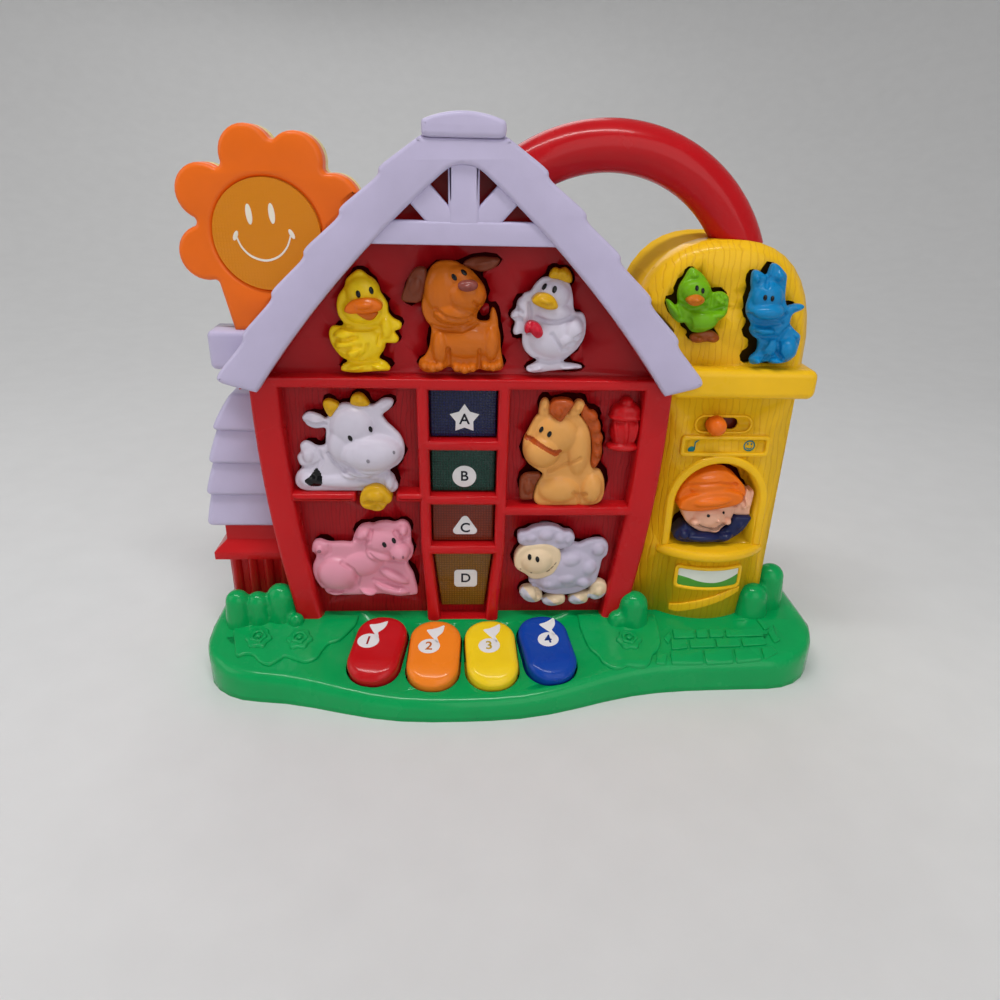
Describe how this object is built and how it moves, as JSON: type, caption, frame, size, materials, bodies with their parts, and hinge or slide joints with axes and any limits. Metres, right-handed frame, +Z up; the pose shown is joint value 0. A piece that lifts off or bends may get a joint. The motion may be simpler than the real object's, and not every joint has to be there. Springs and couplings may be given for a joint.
{
  "type": "talking farm playset",
  "caption": "Upright farm playset with a barn front of push-button animals and letter windows, a silo with a farmer, a sun lamp, a carry handle and piano keys on a wavy base.",
  "frame": {"origin": "on the ground, under the middle of the base's width, 52 mm in front of the base's rear edge", "axes": "+X to the right seen from the front, +Y to the back, +Z up"},
  "size_m": [0.301, 0.1171, 0.2468],
  "materials": {
    "base_green": "smooth moulded green",
    "barn_red": "smooth moulded red",
    "roof_lavender": "smooth moulded pale lavender",
    "silo_yellow": "smooth moulded yellow",
    "handle_red": "smooth moulded red",
    "sun_orange": "smooth moulded orange",
    "sun_pale": "smooth moulded pale yellow",
    "lens_amber": "translucent amber",
    "key_red": "smooth moulded",
    "key_orange": "smooth moulded",
    "key_yellow": "smooth moulded",
    "key_blue": "smooth moulded",
    "duck_yellow": "painted soft gloss",
    "dog_caramel": "painted soft gloss",
    "rooster_white": "painted soft gloss",
    "cow_white": "painted soft gloss",
    "horse_tan": "painted soft gloss",
    "pig_pink": "painted soft gloss",
    "sheep_white": "painted soft gloss",
    "bird_green": "painted soft gloss",
    "cat_blue": "painted soft gloss",
    "farmer_paint": "painted soft gloss",
    "pane_blue": "translucent prismatic",
    "pane_green": "translucent prismatic",
    "pane_orange": "translucent prismatic",
    "pane_amber": "translucent prismatic",
    "board": "coated laminate",
    "contact_rubber": "matt",
    "lamp": "clear",
    "switch_black": "matt",
    "steel": "plain",
    "cell_case": "plain sleeve"
  },
  "bodies": {
    "housing": {"base_shell": "base_green", "base_pan": "base_green", "base_screws": "steel", "key_pins": "steel", "key_board": "board", "barn_front": "barn_red", "barn_rear": "barn_red", "roof_front": "roof_lavender", "roof_rear": "roof_lavender", "case_screws": "steel", "button_board": "board", "silo_board": "board", "farmer_board": "board", "contact_domes": "contact_rubber", "window_leds": "lamp", "silo_front": "silo_yellow", "silo_rear": "silo_yellow", "mode_switch": "switch_black", "handle_front": "handle_red", "handle_rear": "handle_red", "sun_front": "sun_orange", "sun_rear": "sun_pale", "sun_lens": "lens_amber", "sun_led": "lamp", "shed_roof": "roof_lavender", "shed_wall": "barn_red", "speaker": "switch_black", "speaker_ring": "barn_red", "battery_door": "barn_red", "door_screw": "steel", "cells": "cell_case", "cell_contacts": "steel"},
    "duck_button_body": {"duck_button": "duck_yellow"},
    "dog_button_body": {"dog_button": "dog_caramel"},
    "rooster_button_body": {"rooster_button": "rooster_white"},
    "cow_button_body": {"cow_button": "cow_white"},
    "horse_button_body": {"horse_button": "horse_tan"},
    "pig_button_body": {"pig_button": "pig_pink"},
    "sheep_button_body": {"sheep_button": "sheep_white"},
    "bird_button_body": {"bird_button": "bird_green"},
    "cat_button_body": {"cat_button": "cat_blue"},
    "farmer_button_body": {"farmer_button": "farmer_paint"},
    "window_a_body": {"window_a": "pane_blue"},
    "window_b_body": {"window_b": "pane_green"},
    "window_c_body": {"window_c": "pane_orange"},
    "window_d_body": {"window_d": "pane_amber"},
    "key_red_body": {"key_red": "key_red"},
    "key_orange_body": {"key_orange": "key_orange"},
    "key_yellow_body": {"key_yellow": "key_yellow"},
    "key_blue_body": {"key_blue": "key_blue"},
    "mode_knob_body": {"mode_knob": "sun_orange"}
  },
  "joints": [
    {"name": "duck_button_press", "type": "slide", "parent": "housing", "child": "duck_button_body", "axis": [0, 1, 0], "range_m": [0, 0.0025], "stiffness_N_per_m": 400, "springref_m": -0.001},
    {"name": "dog_button_press", "type": "slide", "parent": "housing", "child": "dog_button_body", "axis": [0, 1, 0], "range_m": [0, 0.0025], "stiffness_N_per_m": 400, "springref_m": -0.001},
    {"name": "rooster_button_press", "type": "slide", "parent": "housing", "child": "rooster_button_body", "axis": [0, 1, 0], "range_m": [0, 0.0025], "stiffness_N_per_m": 400, "springref_m": -0.001},
    {"name": "cow_button_press", "type": "slide", "parent": "housing", "child": "cow_button_body", "axis": [0, 1, 0], "range_m": [0, 0.0025], "stiffness_N_per_m": 400, "springref_m": -0.001},
    {"name": "horse_button_press", "type": "slide", "parent": "housing", "child": "horse_button_body", "axis": [0, 1, 0], "range_m": [0, 0.0025], "stiffness_N_per_m": 400, "springref_m": -0.001},
    {"name": "pig_button_press", "type": "slide", "parent": "housing", "child": "pig_button_body", "axis": [0, 1, 0], "range_m": [0, 0.0025], "stiffness_N_per_m": 400, "springref_m": -0.001},
    {"name": "sheep_button_press", "type": "slide", "parent": "housing", "child": "sheep_button_body", "axis": [0, 1, 0], "range_m": [0, 0.0025], "stiffness_N_per_m": 400, "springref_m": -0.001},
    {"name": "bird_button_press", "type": "slide", "parent": "housing", "child": "bird_button_body", "axis": [0, 1, 0], "range_m": [0, 0.0025], "stiffness_N_per_m": 400, "springref_m": -0.001},
    {"name": "cat_button_press", "type": "slide", "parent": "housing", "child": "cat_button_body", "axis": [0, 1, 0], "range_m": [0, 0.0025], "stiffness_N_per_m": 400, "springref_m": -0.001},
    {"name": "farmer_button_press", "type": "slide", "parent": "housing", "child": "farmer_button_body", "axis": [0, 1, 0], "range_m": [0, 0.0025], "stiffness_N_per_m": 400, "springref_m": -0.001},
    {"name": "window_a_press", "type": "slide", "parent": "housing", "child": "window_a_body", "axis": [0, 1, 0], "range_m": [0, 0.0025], "stiffness_N_per_m": 400, "springref_m": -0.001},
    {"name": "window_b_press", "type": "slide", "parent": "housing", "child": "window_b_body", "axis": [0, 1, 0], "range_m": [0, 0.0025], "stiffness_N_per_m": 400, "springref_m": -0.001},
    {"name": "window_c_press", "type": "slide", "parent": "housing", "child": "window_c_body", "axis": [0, 1, 0], "range_m": [0, 0.0025], "stiffness_N_per_m": 400, "springref_m": -0.001},
    {"name": "window_d_press", "type": "slide", "parent": "housing", "child": "window_d_body", "axis": [0, 1, 0], "range_m": [0, 0.0025], "stiffness_N_per_m": 400, "springref_m": -0.001},
    {"name": "key_red_press", "type": "hinge", "parent": "housing", "child": "key_red_body", "pos_m": [-0.06276, -0.01379, 0.01669], "axis": [0.9873, -0.159, 0], "range_deg": [0, 3.5], "stiffness_Nm_per_rad": 0.6, "springref_deg": -2.86},
    {"name": "key_orange_press", "type": "hinge", "parent": "housing", "child": "key_orange_body", "pos_m": [-0.03863, -0.01637, 0.01602], "axis": [0.9986, -0.0532, 0], "range_deg": [0, 3.5], "stiffness_Nm_per_rad": 0.6, "springref_deg": -2.86},
    {"name": "key_yellow_press", "type": "hinge", "parent": "housing", "child": "key_yellow_body", "pos_m": [-0.01437, -0.01637, 0.01602], "axis": [0.9986, 0.0532, 0], "range_deg": [0, 3.5], "stiffness_Nm_per_rad": 0.6, "springref_deg": -2.86},
    {"name": "key_blue_press", "type": "hinge", "parent": "housing", "child": "key_blue_body", "pos_m": [0.00975, -0.01379, 0.01669], "axis": [0.9873, 0.159, 0], "range_deg": [0, 3.5], "stiffness_Nm_per_rad": 0.6, "springref_deg": -2.86},
    {"name": "mode_knob_slide", "type": "slide", "parent": "housing", "child": "mode_knob_body", "axis": [1, 0, 0], "range_m": [0, 0.008]}
  ]
}
